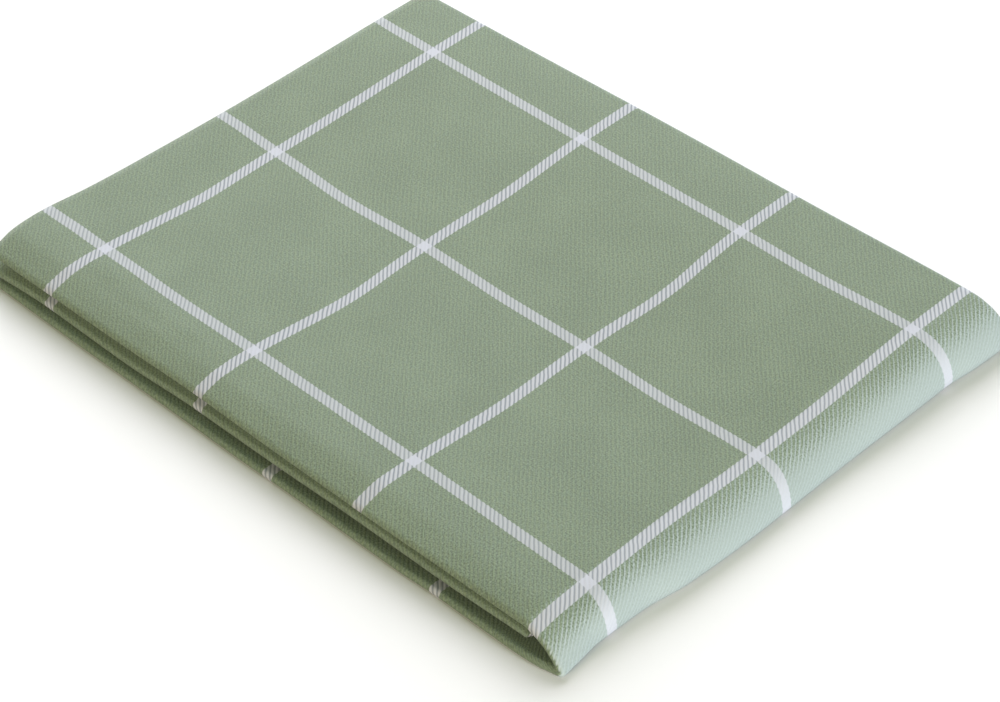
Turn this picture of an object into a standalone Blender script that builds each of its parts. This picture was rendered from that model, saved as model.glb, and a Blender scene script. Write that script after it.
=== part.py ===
"""A cotton tea towel, folded in half three times and laid flat on a table.

The towel is one sheet of cloth. It is folded in half across its length, in half
again the same way, and at last in half across its width, so it lies in eight
layers. Four of them make the upper half of the stack and four the lower half,
and the last fold joins the halves at the +X end.

Each half holds, from the outside of the stack to its inside:
  layer 1 and layer 2, joined along the front (-Y) by the first fold,
  layer 3 and layer 4, which end at the front in the towel's two hems.
Along the back (+Y) layer 1 wraps round to layer 4, and layer 2 to layer 3.
The -X end holds the open edges of all the layers.

Lengths are in metres. While the cloth is laid out, x = 0 is the open end, y = 0
is the front edge and z = 0 is the table. At the end the towel is centred.
"""

import math

import bmesh
import bpy

# The cloth
CLOTH = 0.0010            # thickness of the woven cloth
HEM_TOP = 0.0030          # thickness of the front hem where it shows, in the upper half
HEM_TURN = 0.0024         # the same hem where it nears the last fold
HEM_TURN_X = (0.150, 0.200)  # x over which it goes from the one to the other
HEM_HIDDEN = 0.0012       # thickness of the hems that lie inside the stack
HEM_WIDTH = 0.0090        # from the hem's edge to where the plain cloth begins
HEM_STEP_OFF = 0.0010     # half the length over which it thins to the plain cloth
HEM_NOSE = 0.0012         # length over which a hem's edge rounds off
SLIVER = 0.30             # share of a hem's thickness that is left at its very edge

# The stack
STACK = 0.0121            # height of the folded towel near its edges
SAG = 0.0019              # how much lower its middle lies
CROSS_PITCH = 0.0610      # check spacing along X
LENGTH_PITCH = 0.0646     # check spacing along Y
FRONT_STRIPE = 0.0203     # y of the first stripe that runs along X
CELLS = 3.4               # check cells from the open end to the last stripe
LAST_STRIPE = CELLS * CROSS_PITCH     # x of the last stripe before the last fold
MIDDLE = FRONT_STRIPE + LENGTH_PITCH  # y of the middle stripe
GAP = 0.0004              # air kept between layers that lie close at the front

# The top of the stack. A pair gives where a soft change begins and where it ends.
NEAR_FOLD = (0.140, 0.205)    # x over which the stack takes on the last fold's height
FOLD_HOLLOW = 0.75            # share of the hollow that is left there
NEAR_OPEN = (0.0, 0.030)      # x over which the hollow grows from the open end
OPEN_HOLLOW = 0.45            # share of the hollow at the open end
HOLLOW_SHAPE = 1.5            # how flat the hollow's rim is
RIDGE_Y = (0.014, 0.034)      # y over which the ridge behind the front edge ends
RISE_X = (0.150, 0.205)       # x over which the top rises towards the last fold
ROLL = 0.0100                 # the top rolls down to the front edge over this length
FAR_ROLL = 2.0 / 3.0          # share of that length over which it grows steeper
WAVES_Y = (0.010, 0.040)      # y over which the slow waves of the top begin
# A slow wave: its height, and how fast it runs along X and along Y
WAVES = [(0.00012, 31.0, 17.0), (0.00010, -23.0, 43.0)]

# Sections along X, from the open end to the last fold. The edges are the outermost
# points of the cloth in y: of the upper fold, of the hem under it and of the wrap at
# the back. ridge is how far the top stands above the stack's height just behind the
# front edge, droop how far it falls towards that edge, loop the distance between
# layers 1 and 2 at the fold, and air the room over the hem.
SECTION = ("x", "upper", "hem", "back", "ridge", "droop", "loop", "air")
SECTIONS = [
    (0.0000, -0.0012, -0.0020, 0.1713, 0.0006, 0.0022, 0.0019, 0.0016),
    (0.0244, -0.0010, -0.0010, 0.1719, 0.0006, 0.0022, 0.0020, 0.0014),
    (0.0550, -0.0007, -0.0012, 0.1728, 0.0006, 0.0022, 0.0019, 0.0014),
    (0.0854, -0.0002, -0.0004, 0.1737, 0.0006, 0.0022, 0.0019, 0.0012),
    (0.1160, -0.0004, -0.0007, 0.1742, 0.0006, 0.0022, 0.0018, 0.0004),
    (0.1464, -0.0004, -0.0004, 0.1744, 0.0005, 0.0021, 0.0017, 0.0001),
    (0.1760, 0.0001, -0.0003, 0.1747, 0.0001, 0.0020, 0.0017, 0.0000),
    (0.2050, 0.0008, 0.0004, 0.1750, -0.0002, 0.0020, 0.0017, 0.0000),
]

# The lower fold's front edge, which stands out a little further.
LOWER = ("x", "edge")
LOWERS = [
    (0.0000, -0.0032),
    (0.0380, -0.0034),
    (0.0710, -0.0032),
    (0.1030, -0.0031),
    (0.1260, -0.0027),
    (0.1630, -0.0026),
    (0.1780, -0.0020),
    (0.2020, -0.0020),
    (0.2120, -0.0014),
    (0.2160, -0.0004),
]

# The last fold, by y: before is how far before the last stripe it begins to curve,
# reach how far its outer face goes past that, sole the height at which it reaches
# furthest, rise the height that the top gains there, ply how much less layer 2
# reaches than layer 1, and inner_3 and inner_4 the reach of layers 3 and 4.
FOLD = ("y", "before", "reach", "sole", "rise", "ply", "inner_3", "inner_4")
FOLDS = [
    (0.000, 0.0030, 0.0138, 0.0014, 0.0000, 0.0022, 0.0022, 0.0014),
    (0.008, 0.0030, 0.0131, 0.0018, 0.0000, 0.0021, 0.0036, 0.0014),
    (0.015, 0.0028, 0.0122, 0.0018, 0.0000, 0.0019, 0.0056, 0.0016),
    (0.030, 0.0024, 0.0124, 0.0020, 0.0000, 0.0017, 0.0076, 0.0020),
    (0.045, 0.0021, 0.0143, 0.0020, 0.0000, 0.0017, 0.0090, 0.0020),
    (0.070, 0.0020, 0.0153, 0.0020, 0.0000, 0.0017, 0.0092, 0.0020),
    (0.100, 0.0016, 0.0149, 0.0020, 0.0002, 0.0017, 0.0090, 0.0020),
    (0.147, -0.0005, 0.0137, 0.0028, 0.0009, 0.0017, 0.0084, 0.0020),
    (0.160, -0.0005, 0.0149, 0.0028, 0.0008, 0.0017, 0.0092, 0.0020),
    (0.176, -0.0005, 0.0156, 0.0028, 0.0006, 0.0017, 0.0096, 0.0020),
]
# Changes on the way round the last fold, as shares of that way
HEM_THINS = (0.0, 0.8)    # the front hem thins
HEM_GOES_IN = (0.1, 0.9)  # its edge goes in to where the lower half's hem ends
BACK_GOES_IN = (0.5, 1.0)  # the back wrap goes in
BACK_LESS = 0.0006        # how much less far back the lower half's wrap lies
LOWER_INSIDE = 0.0012     # how far the lower half's open edges lie inside the upper ones

# The open end
CORNER_OUT = 0.0014       # how far the front corner stands out
CORNER_Y = 0.018          # y where it stands out most
CORNER_WIDTH = 0.016      # how wide it is
BACK_SHIFT = 0.0006       # how far the back corner lies inside
BACK_SHIFT_Y = (0.030, 0.150)  # y over which the edge goes in
INSIDE = 0.0009           # how far layers 2 and 4 lie inside layers 1 and 3

# Levels near the front edge. A pair gives the y over which they become even.
LOOP_Y = (0.003, 0.016)   # of the upper half's second layer
HEM_Y = (0.008, 0.015)    # of its third layer, behind the hem
FOURTH_Y = (0.016, 0.040)  # of its fourth layer
LOWER_Y = (0.004, 0.026)  # of the lower half's layers
SECOND_LOWER = 0.0019     # level of the lower half's second layer at the front
THIRD_LOWER = 0.0034      # and of its third layer
LOWER_HEM_Y = 0.0090      # y where the lower half's front hem ends
INNER_HEM_Y = 0.0130      # y where the hem of layer 4 ends, in both halves

# How many pieces the curves have
FIELD_Y = (0.017, 0.028, 0.055, 0.085, 0.115, 0.145, 0.161)
FRONT_Y = (0.0062, 0.0088, 0.0114, 0.0140)
HEM_STEPS = (0.0, 0.0005, 0.0012, 0.0024, 0.0045)  # distances from the front hem's edge
THIRD_STEP = 0.0015       # least step between the points of layer 3 behind them
INNER_HEM_STEPS = 3       # how many of those distances the hem of layer 4 has
LOWER_SHARES = (0.025, 0.055, 0.12, 0.22, 0.36, 0.47, 0.60, 0.72, 0.86, 1.0)
FOLD_STEPS = 8
WRAP_STEPS = 8
INNER_STEPS = 6
TURN_STEPS = 7
HEEL_STEPS = 4

HEEL = 0.0006             # radius of the heels of layers 2 and 3
HEEL_LENGTH = 1.15        # length of layer 1's heel, as a share of its height
STRAIGHT = 0.3            # share of the innermost layer's turn that stays straight
TIP_STRAIGHT = 0.5        # how straight the last fold comes down at the front edge
TIP_RUN = (0.004, 0.022)  # y over which that fades out
ROUND = 1.2               # depth in y of a front fold's round, as a share of its half height
NOSE_LIFT = 0.15          # how much nearer the top the upper fold's edge is, in layers
NOSE_TOP = 0.25           # how straight the cloth comes down to that edge
NOSE_UNDER = 0.25         # how straight it goes back in under it
NOSE_DEPTH = 1.2          # how much deeper its round is below the edge than above
NOSE_END = (0.170, 0.205)  # x over which that shape fades out
LOWER_ROUND = 0.0007      # half height of the lower half's front fold
WRAP_DEPTH = 0.0028       # depth in y of the back wrap's round
WRAP_STEP = 0.00138       # how far layer 2's wrap lies inside layer 1's
INNER_DEPTH = 0.0010


def mix(start, end, share):
    """A value between two others."""
    return start + (end - start) * share


def ramp(value, start, end):
    """0 before start, 1 after end, and a soft slope between them."""
    share = min(1.0, max(0.0, (value - start) / (end - start)))
    return share * share * (3.0 - 2.0 * share)


def look_up(rows, names, column, place):
    """The named column of a table, read at a place between its rows."""
    index = names.index(column)
    if place <= rows[0][0]:
        return rows[0][index]
    for before, after in zip(rows, rows[1:]):
        if place <= after[0]:
            return mix(before[index], after[index], ramp(place, before[0], after[0]))
    return rows[-1][index]


def section(column, x):
    """A column of the sections, at x."""
    return look_up(SECTIONS, SECTION, column, x)


def fold(column, y):
    """A column of the last fold, at y."""
    return look_up(FOLDS, FOLD, column, y)


def open_end(depth, y):
    """x of the open edge: the top layer is a little bowed, the others lie just inside it."""
    off = (y - CORNER_Y) / CORNER_WIDTH
    bow = BACK_SHIFT * ramp(y, *BACK_SHIFT_Y) - CORNER_OUT * math.exp(-(off**2))
    return bow + INSIDE * (1.0 - math.cos(math.pi * (depth - 1.0))) / 2.0


def fold_start(y):
    """x at which the last fold begins to curve."""
    return LAST_STRIPE - fold("before", y)


def roll(y):
    """Share of the droop at y: it grows steeper towards the front, then falls evenly."""
    near = max(0.0, 1.0 - y / ROLL)
    slope = 1.0 / (1.0 - FAR_ROLL / 2.0)
    if near < FAR_ROLL:
        return slope * near * near / (2.0 * FAR_ROLL)
    return 1.0 - slope * (1.0 - near)


def top_height(x, y):
    """Height of the upper face of the stack."""
    across = math.cos(math.pi * (y - MIDDLE) / (2.0 * LENGTH_PITCH))
    hollow = SAG * max(0.0, across) ** HOLLOW_SHAPE
    hollow *= mix(1.0, FOLD_HOLLOW, ramp(x, *NEAR_FOLD))
    hollow *= mix(OPEN_HOLLOW, 1.0, ramp(x, *NEAR_OPEN))
    ridge = section("ridge", x) * (1.0 - ramp(y, *RIDGE_Y))
    rise = fold("rise", y) * ramp(x, *RISE_X)
    slow = sum(high * math.sin(fast_x * x + fast_y * y) for high, fast_x, fast_y in WAVES)
    droop = section("droop", x) * roll(y)
    return STACK - hollow + ridge - droop + rise + slow * ramp(y, *WAVES_Y)


def upper_levels(x, y):
    """Middle heights of layers 1 to 4 in the upper half."""
    height = top_height(x, y)
    step = (height - CLOTH) / 7.0
    first = height - CLOTH / 2.0
    second = first - mix(step, section("loop", x), 1.0 - ramp(y, *LOOP_Y))
    hem_step = CLOTH / 2.0 + GAP + front_hem(x, True) / 2.0 + section("air", x)
    third = second - mix(step, max(step, hem_step), 1.0 - ramp(y, *HEM_Y))
    fourth = third - max(step, CLOTH / 2.0 + GAP + HEM_HIDDEN / 2.0)
    even = height - CLOTH / 2.0 - 3.0 * step
    fourth = mix(fourth, even, ramp(y, *FOURTH_Y))
    return first, second, third, fourth


def lower_levels(x, y):
    """Middle heights of layers 1 to 4 in the lower half, counted from the table."""
    step = (top_height(x, y) - CLOTH) / 7.0
    first = CLOTH / 2.0
    front = 1.0 - ramp(y, *LOWER_Y)
    second = mix(first + step, SECOND_LOWER, front)
    third = mix(first + 2.0 * step, THIRD_LOWER, front)
    fourth = mix(first + 3.0 * step, THIRD_LOWER + GAP + HEM_HIDDEN, front)
    return first, second, third, fourth


def level(levels, depth):
    """Height at a depth of 1 to 4 layers, which may lie between two layers."""
    whole = min(3, max(1, int(depth)))
    return mix(levels[whole - 1], levels[whole], depth - whole)


def reach(layer, y):
    """How far past the start of the last fold the middle of a layer goes."""
    outer = fold("reach", y) - CLOTH / 2.0
    return (outer, outer - fold("ply", y), fold("inner_3", y), fold("inner_4", y))[layer - 1]


def heel_size(layer, y):
    """Length and height of the tight curve at the foot of the last fold."""
    if layer == 1:
        sole = fold("sole", y) - CLOTH / 2.0
        return sole * HEEL_LENGTH, sole
    if layer < 4:
        return HEEL, HEEL
    start = fold_start(y)
    half = (upper_levels(start, y)[3] - lower_levels(start, y)[3]) / 2.0
    return half, half


def layer_turn(share, layer, y):
    """x and z of a layer on the long curve that leads down from the upper half."""
    start = fold_start(y)
    tops, bottoms = upper_levels(start, y), lower_levels(start, y)
    top, widest = tops[layer - 1], bottoms[layer - 1] + heel_size(layer, y)[1]
    far = reach(layer, y)
    angle = share * math.pi / 2.0
    if layer == 4:
        bend = max(0.0, (share - STRAIGHT) / (1.0 - STRAIGHT)) * math.pi / 2.0
        radius = top - widest
        run = (far - radius) * min(1.0, share / STRAIGHT)
        return start + run + radius * math.sin(bend), widest + radius * math.cos(bend)
    x, z = far * math.sin(angle), (top - widest) * math.cos(angle)
    if layer == 2:
        outer_far = reach(1, y)
        outer_widest = bottoms[0] + heel_size(1, y)[1]
        rise = tops[0] - outer_widest
        slope = math.hypot(math.sin(angle) / outer_far, math.cos(angle) / rise)
        inside = mix(tops[0] - top, fold("ply", y), share) / slope
        x = outer_far * math.sin(angle) - inside * math.sin(angle) / outer_far
        z = rise * math.cos(angle) - inside * math.cos(angle) / rise
        z *= (top - widest) / (top - outer_widest)
    if layer == 3:
        return start + x, widest + z
    flat = TIP_STRAIGHT * (1.0 - ramp(y, *TIP_RUN))
    x = mix(x, far * share, flat)
    return start + x, widest + mix(z, (top - widest) * (1.0 - share), flat)


def layer_heel(share, layer, y):
    """x and z of a layer on the tight curve that leads back under the stack."""
    length, height = heel_size(layer, y)
    start = fold_start(y)
    bottom = lower_levels(start, y)[layer - 1]
    angle = share * math.pi / 2.0
    x = start + reach(layer, y) - length * (1.0 - math.cos(angle))
    return x, bottom + height * (1.0 - math.sin(angle))


def between(curve, share, depth, y):
    """A point of a curve at a depth that may lie between two layers."""
    whole = min(3, max(1, int(depth)))
    before, after = curve(share, whole, y), curve(share, whole + 1, y)
    x, z = (mix(before[k], after[k], depth - whole) for k in range(2))
    return x, y, z


def on_upper(share, depth, y):
    """A point of the upper half. share goes from the open end to the last fold."""
    x = mix(open_end(depth, y), fold_start(y), share)
    return x, y, level(upper_levels(x, y), depth)


def on_turn(share, depth, y):
    """A point of the long curve that leads down from the upper half."""
    return between(layer_turn, share, depth, y)


def on_heel(share, depth, y):
    """A point of the tight curve that leads back under the stack."""
    return between(layer_heel, share, depth, y)


def on_lower(share, depth, y):
    """A point of the lower half. share goes from under the last fold to the open end."""
    far = open_end(depth, y) + LOWER_INSIDE
    x = mix(on_heel(1.0, depth, y)[0], far, share)
    return x, y, level(lower_levels(min(x, fold_start(y)), y), depth)


def stations():
    """Stations along the towel's width.

    Each is the part of the stack, the share along it, and how far round the last fold
    it is (0 in the upper half, 1 in the lower half).
    """
    span = SECTIONS[-1][0]
    rows = [row[0] / span for row in SECTIONS]
    found = [(on_upper, share, 0.0) for share in rows]
    total = TURN_STEPS + HEEL_STEPS
    found += [(on_turn, i / TURN_STEPS, i / total) for i in range(1, TURN_STEPS + 1)]
    found += [
        (on_heel, i / HEEL_STEPS, (TURN_STEPS + i) / total) for i in range(1, HEEL_STEPS + 1)
    ]
    found += [(on_lower, share, 1.0) for share in LOWER_SHARES]
    return found


def front_hem(x, upper):
    """Thickness of the front hem, which is plumper in the upper half."""
    if not upper:
        return HEM_HIDDEN
    return mix(HEM_TOP, HEM_TURN, ramp(x, *HEM_TURN_X))


def edges(part, share, turned):
    """y of the front fold, the front hem and the back wrap at a station."""
    if part is on_upper:
        x = share * SECTIONS[-1][0]
        return section("upper", x), section("hem", x), section("back", x)
    x = on_lower(share if part is on_lower else 0.0, 1.0, 0.0)[0]
    lower = look_up(LOWERS, LOWER, "edge", x)
    if part is on_lower:
        return lower, LOWER_HEM_Y, section("back", x) - BACK_LESS
    end = SECTIONS[-1][0]
    front = mix(section("upper", end), lower, ramp(turned, 0.0, 1.0))
    hem = mix(section("hem", end), LOWER_HEM_Y, ramp(turned, *HEM_GOES_IN))
    return front, hem, section("back", end) - BACK_LESS * ramp(turned, *BACK_GOES_IN)


def front_fold(front, round_y, nose):
    """The front fold's round as points of (depth, y). nose is 0 for a plain round.

    At 1 its edge is lifted and pressed to a crisp lip.
    """
    points = []
    for i in range(FOLD_STEPS + 1):
        angle = math.pi * (i / FOLD_STEPS - 0.5)
        lift = NOSE_LIFT * nose * math.cos(angle) ** 2
        straight, deep = NOSE_TOP * nose, round_y
        if i > FOLD_STEPS // 2:
            straight, deep = NOSE_UNDER * nose, round_y * mix(1.0, NOSE_DEPTH, nose)
        back = mix(1.0 - math.cos(angle), abs(math.sin(angle)), straight)
        points.append((1.5 + 0.5 * math.sin(angle) - lift, front + deep * back))
    return points


def section_points(front, hem, back, round_y, nose):
    """The towel's length as one back-and-forth line of (depth, y, distance to a hem).

    The distance tells how thick the cloth is: it is measured from the front hem for
    layer 3, from the inner hem for layer 4, and is None elsewhere.
    """
    half = CLOTH / 2.0
    front, back = front + half, back - half
    inner_back = back - WRAP_STEP
    points = [(4.0, INNER_HEM_Y + d, d) for d in HEM_STEPS[:INNER_HEM_STEPS]]
    points += [(4.0, y, y - INNER_HEM_Y) for y in FIELD_Y]
    for i in range(WRAP_STEPS + 1):
        angle = math.pi * (i / WRAP_STEPS - 0.5)
        y = back - WRAP_DEPTH * (1.0 - math.cos(angle))
        points.append((2.5 - 1.5 * math.sin(angle), y, None))
    points += [(1.0, y, None) for y in reversed(FIELD_Y)]
    points += [(1.0, y, None) for y in reversed(FRONT_Y)]
    points += [(depth, y, None) for depth, y in front_fold(front, round_y, nose)]
    points += [(2.0, y, None) for y in FRONT_Y + FIELD_Y]
    for i in range(INNER_STEPS + 1):
        angle = math.pi * (i / INNER_STEPS - 0.5)
        y = inner_back - INNER_DEPTH * (1.0 - math.cos(angle))
        points.append((2.5 + 0.5 * math.sin(angle), y, None))
    third = [hem + d for d in HEM_STEPS]
    for y in FRONT_Y[1:] + FIELD_Y:
        third.append(max(y, third[-1] + THIRD_STEP))
    points += [(3.0, y, y - hem) for y in reversed(third)]
    return points


def thickness(distance, hem):
    """Thickness of the cloth at a distance from a hem's edge."""
    if distance is None:
        return CLOTH
    body = mix(hem, CLOTH, ramp(distance, HEM_WIDTH - HEM_STEP_OFF, HEM_WIDTH + HEM_STEP_OFF))
    nose = min(1.0, max(0.0, distance / HEM_NOSE))
    return body * mix(SLIVER, 1.0, math.sqrt(nose * (2.0 - nose)))


def lay_cloth():
    """Positions and thicknesses of the cloth's middle surface, station by station."""
    grid = []
    for part, share, turned in stations():
        front, hem, back = edges(part, share, turned)
        x = share * SECTIONS[-1][0] if part is on_upper else SECTIONS[-1][0]
        half = section("loop", x) / 2.0 if part is on_upper else LOWER_ROUND
        nose = 1.0 - ramp(x, *NOSE_END)
        row = []
        for depth, y, distance in section_points(front, hem, back, half * ROUND, nose):
            shown = front_hem(x, part is not on_lower)
            shown = mix(shown, HEM_HIDDEN, ramp(turned, *HEM_THINS))
            edge = shown if depth == 3.0 else HEM_HIDDEN
            row.append((part(share, depth, y), thickness(distance, edge)))
        grid.append(row)
    return grid


def clear_scene():
    """Removes whatever the scene holds."""
    for item in list(bpy.data.objects):
        bpy.data.objects.remove(item, do_unlink=True)


def make_material(name, colour, roughness):
    """A plain finish in the part's colour."""
    material = bpy.data.materials.new(name)
    material.use_nodes = True
    shader = material.node_tree.nodes["Principled BSDF"]
    shader.inputs["Base Color"].default_value = (*colour, 1.0)
    shader.inputs["Roughness"].default_value = roughness
    shader.inputs["Metallic"].default_value = 0.0
    return material


def make_cloth(name, collection):
    """A grid primitive whose points are moved to where the folded cloth lies."""
    grid = lay_cloth()
    across, along = len(grid), len(grid[0])
    mesh = bpy.data.meshes.new(name)
    cloth = bmesh.new()
    bmesh.ops.create_grid(cloth, x_segments=along - 1, y_segments=across - 1, size=1.0)
    cloth.verts.ensure_lookup_table()
    weights = []
    for vertex in cloth.verts:
        column = round((vertex.co.x + 1.0) / 2.0 * (along - 1))
        row = round((vertex.co.y + 1.0) / 2.0 * (across - 1))
        place, thick = grid[row][column]
        vertex.co = place
        weights.append(thick / HEM_TOP)
    cloth.to_mesh(mesh)
    cloth.free()
    towel = bpy.data.objects.new(name, mesh)
    collection.objects.link(towel)
    group = towel.vertex_groups.new(name="thickness")
    for index, weight in enumerate(weights):
        group.add([index], weight, "REPLACE")
    solid = towel.modifiers.new("cloth thickness", "SOLIDIFY")
    solid.thickness = HEM_TOP
    solid.offset = 0.0
    solid.vertex_group = group.name
    solid.thickness_vertex_group = 0.0
    return towel


def centre(towel):
    """Moves the mesh so that the towel stands on z = 0, centred on the origin."""
    bpy.context.view_layer.update()
    evaluated = towel.evaluated_get(bpy.context.evaluated_depsgraph_get())
    points = [vertex.co.copy() for vertex in evaluated.to_mesh().vertices]
    evaluated.to_mesh_clear()
    middle = [(min(p[k] for p in points) + max(p[k] for p in points)) / 2.0 for k in range(3)]
    floor = min(p[2] for p in points)
    for vertex in towel.data.vertices:
        vertex.co.x -= middle[0]
        vertex.co.y -= middle[1]
        vertex.co.z -= floor


def main():
    """Builds the towel, gives it its finish and centres it."""
    clear_scene()
    collection = bpy.data.collections.new("tea_towel")
    bpy.context.scene.collection.children.link(collection)
    towel = make_cloth("towel_cloth", collection)
    towel.data.materials.append(make_material("sage_cotton", (0.27, 0.33, 0.23), 0.9))
    towel.data.shade_smooth()
    centre(towel)


main()
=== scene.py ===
"""Looks of a folded cotton tea towel: sage twill with a light windowpane check, on a pale floor.

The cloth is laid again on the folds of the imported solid, in finer steps and with its soft
creases, and gets a woven finish that follows the cloth round every fold.

Lengths are in metres. While the cloth is laid out, x = 0 is the open end, y = 0 is the front
edge and z = 0 is the table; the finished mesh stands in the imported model's frame.
"""

import logging
import math
from dataclasses import dataclass
from enum import Enum

import bpy
import numpy as np
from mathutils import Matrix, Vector


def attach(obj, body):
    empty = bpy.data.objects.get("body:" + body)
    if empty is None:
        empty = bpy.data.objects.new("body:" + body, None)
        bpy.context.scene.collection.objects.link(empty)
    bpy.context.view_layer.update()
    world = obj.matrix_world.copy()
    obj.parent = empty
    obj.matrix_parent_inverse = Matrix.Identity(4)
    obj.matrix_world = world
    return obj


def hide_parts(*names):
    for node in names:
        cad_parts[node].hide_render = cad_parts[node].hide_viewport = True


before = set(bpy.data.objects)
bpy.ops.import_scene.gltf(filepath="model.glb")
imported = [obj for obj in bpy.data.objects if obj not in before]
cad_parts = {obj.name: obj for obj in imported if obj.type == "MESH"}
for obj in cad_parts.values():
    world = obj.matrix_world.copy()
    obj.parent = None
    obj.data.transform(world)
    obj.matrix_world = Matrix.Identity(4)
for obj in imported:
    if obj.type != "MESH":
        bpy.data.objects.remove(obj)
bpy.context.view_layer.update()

LOG = logging.getLogger("tea_towel")
TO_FRAME = (-0.1109871, -0.0858089, 0.0)  # from the lay-out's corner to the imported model's origin
LAYERS = 4  # layers in each half of the stack

Colour = tuple[float, float, float]
Range = tuple[float, float]  # where something starts and where it ends


def mix(start: np.ndarray, end: np.ndarray, share: np.ndarray) -> np.ndarray:
    """Gives a value between two others, as far along as share says."""
    return start + (end - start) * share


def ramp(value: np.ndarray, start: float, end: float) -> np.ndarray:
    """Gives 0 before start, 1 after end, and a soft slope between them."""
    share = np.clip((value - start) / (end - start), 0.0, 1.0)
    return share * share * (3.0 - 2.0 * share)


def hump(value: np.ndarray, middle: float, width: float) -> np.ndarray:
    """Gives 1 at the middle and falls softly to 0 over a few widths."""
    return np.exp(-(((value - middle) / width) ** 2))


def between(value: np.ndarray, start: Range, end: Range) -> np.ndarray:
    """Gives 1 between two ranges, with a soft slope over each of them."""
    return ramp(value, *start) * (1.0 - ramp(value, *end))


def half_turn(steps: int) -> np.ndarray:
    """Gives the angles of a half turn, from -90 to 90 degrees, in even steps."""
    return math.pi * (np.arange(steps + 1) / steps - 0.5)


class Part(Enum):
    """The parts of the stack that a line across the cloth runs through."""

    UPPER = "upper half"
    TURN = "long curve of the last fold"
    HEEL = "tight curve at the foot of the last fold"
    LOWER = "lower half"


@dataclass(frozen=True)
class Table:
    """Rows of named columns, read by a smooth curve through the rows.

    The first column is the place of each row.
    """

    names: tuple[str, ...]
    rows: tuple[tuple[float, ...], ...]

    def read(self, column: str, places: np.ndarray) -> np.ndarray:
        """Reads a column at places between the rows.

        Args:
            column: the column's name.
            places: where to read it, in the units of the first column.

        Returns:
            The values, which never go past those of the rows on either side.
        """
        x = np.array([row[0] for row in self.rows])
        y = np.array([row[self.names.index(column)] for row in self.rows])
        step = np.diff(x)
        slope = np.diff(y) / step
        before, after = slope[:-1], slope[1:]
        even = np.where(before * after > 0.0, before + after, 1.0)
        inner = np.where(before * after > 0.0, 2.0 * before * after / even, 0.0)
        tangent = np.concatenate([slope[:1], inner, slope[-1:]])
        places = np.clip(places, x[0], x[-1])
        i = np.clip(np.searchsorted(x, places, side="right") - 1, 0, len(step) - 1)
        t = (places - x[i]) / step[i]
        start = y[i] + step[i] * tangent[i] * t * (1.0 - t) ** 2
        end = y[i + 1] - step[i] * tangent[i + 1] * (1.0 - t) * t**2
        soft = t * t * (3.0 - 2.0 * t)
        rise = (y[i + 1] - y[i]) * soft
        return start + rise + (end - y[i + 1])


@dataclass(frozen=True)
class Hem:
    """A turned and stitched edge, which is part of the cloth."""

    top: float = 0.0030  # thickness where it shows, in the upper half
    turn: float = 0.0024  # thickness where it nears the last fold
    hidden: float = 0.0012  # thickness inside the stack
    width: float = 0.0090  # from its edge to where the plain cloth begins
    step: float = 0.0010  # half the length over which it thins to the plain cloth
    nose: float = 0.0012  # length over which its edge rounds off
    sliver: float = 0.30  # share of its thickness left at the very edge
    turn_run: Range = (0.150, 0.200)  # x over which it thins towards the last fold

    def front(self, x: np.ndarray, upper: bool) -> np.ndarray:
        """Gives the thickness of the front hem at x."""
        if not upper:
            return np.full_like(np.asarray(x, float), self.hidden)
        return mix(self.top, self.turn, ramp(np.asarray(x, float), *self.turn_run))

    def thickness(self, distance: np.ndarray, hem: np.ndarray, cloth: float) -> np.ndarray:
        """Gives the cloth's thickness at distances from a hem's edge.

        Args:
            distance: how far each point is from the hem's edge, large where no hem is near.
            hem: the thickness of the hem there.
            cloth: the thickness of the plain cloth.

        Returns:
            The thickness at each point.
        """
        body = mix(hem, cloth, ramp(distance, self.width - self.step, self.width + self.step))
        nose = np.clip(distance / self.nose, 0.0, 1.0)
        return body * mix(self.sliver, 1.0, np.sqrt(nose * (2.0 - nose)))


@dataclass(frozen=True)
class Crease:
    """A soft trough or ridge in the top of the stack, given one by one."""

    x: float
    y: float
    angle: float  # degrees from +X that its length runs along
    length: float
    width: float
    height: float  # above the cloth round it, below it where negative

    def rise(self, x: np.ndarray, y: np.ndarray) -> np.ndarray:
        """Gives how far the crease lifts the cloth at x, y."""
        turn = math.radians(self.angle)
        along = (x - self.x) * math.cos(turn) + (y - self.y) * math.sin(turn)
        across = (y - self.y) * math.cos(turn) - (x - self.x) * math.sin(turn)
        return self.height * hump(along, 0.0, self.length / 2.0) * hump(across, 0.0, self.width)


CREASES = (
    # x, y, angle, length, width, height
    Crease(0.050, 0.0135, -1.0, 0.070, 0.0022, 0.00028),
    Crease(0.047, 0.0085, 4.0, 0.036, 0.0018, -0.00024),
    Crease(0.064, 0.0105, 38.0, 0.016, 0.0024, 0.00026),
    Crease(0.040, 0.0120, 52.0, 0.014, 0.0022, -0.00020),
    Crease(0.034, 0.0160, 30.0, 0.020, 0.0030, 0.00022),
    Crease(0.100, 0.0110, 2.0, 0.050, 0.0026, -0.00018),
    Crease(0.112, 0.0150, 40.0, 0.020, 0.0034, 0.00020),
    Crease(0.137, 0.0100, -3.0, 0.040, 0.0024, 0.00016),
    Crease(0.012, 0.0200, 70.0, 0.030, 0.0040, 0.00022),
    Crease(0.008, 0.0700, 85.0, 0.060, 0.0036, 0.00018),
    Crease(0.010, 0.1300, 95.0, 0.050, 0.0040, -0.00018),
    Crease(0.090, 0.0520, 28.0, 0.060, 0.0060, 0.00014),
    Crease(0.140, 0.1100, -35.0, 0.070, 0.0070, -0.00016),
    Crease(0.060, 0.1250, 60.0, 0.050, 0.0060, 0.00014),
    Crease(0.180, 0.0500, 75.0, 0.060, 0.0060, 0.00016),
    Crease(0.194, 0.1300, 84.0, 0.050, 0.0040, 0.00014),
)


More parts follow.
